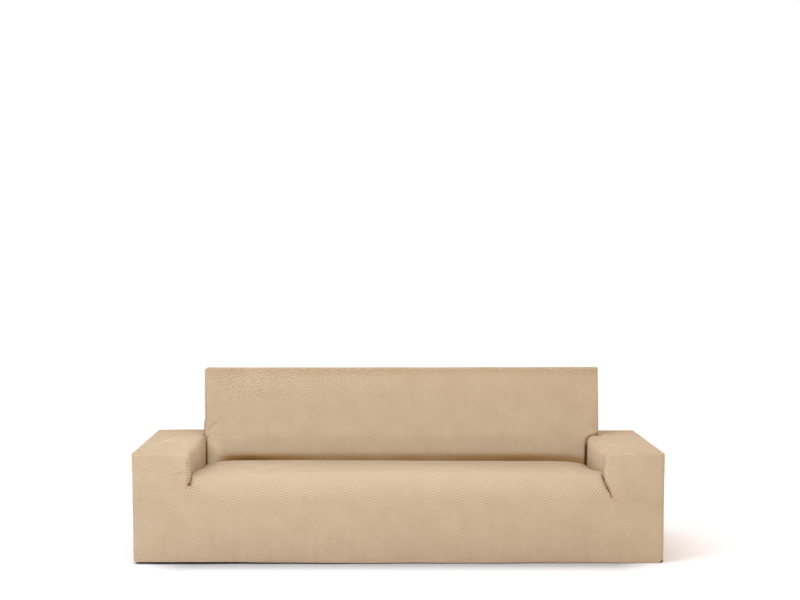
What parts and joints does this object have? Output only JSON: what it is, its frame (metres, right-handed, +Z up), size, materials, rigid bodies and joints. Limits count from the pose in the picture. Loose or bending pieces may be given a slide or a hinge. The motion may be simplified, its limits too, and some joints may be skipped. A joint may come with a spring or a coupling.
{
  "type": "sofa slipcover",
  "caption": "Fitted stretch slipcover for a long sofa with low square arms, in beige cloth with a woven zigzag, open at the floor.",
  "frame": {"origin": "under the cloth of the back's top, in the middle of the width, where a sofa's backrest holds the cover up", "axes": "+Z up, -Y towards the front, +X towards the right arm as seen from the front"},
  "size_m": [2.4258, 0.9335, 0.8307],
  "materials": {
    "stretch_cloth": "matte stretch jacquard with small tone-on-tone zigzag rows"
  },
  "bodies": {
    "root": {"front_seat_panel": "stretch_cloth", "arm_panel_left": "stretch_cloth", "arm_panel_right": "stretch_cloth", "back_panel": "stretch_cloth", "back_side_left": "stretch_cloth", "back_side_right": "stretch_cloth", "rear_panel": "stretch_cloth"}
  },
  "joints": []
}
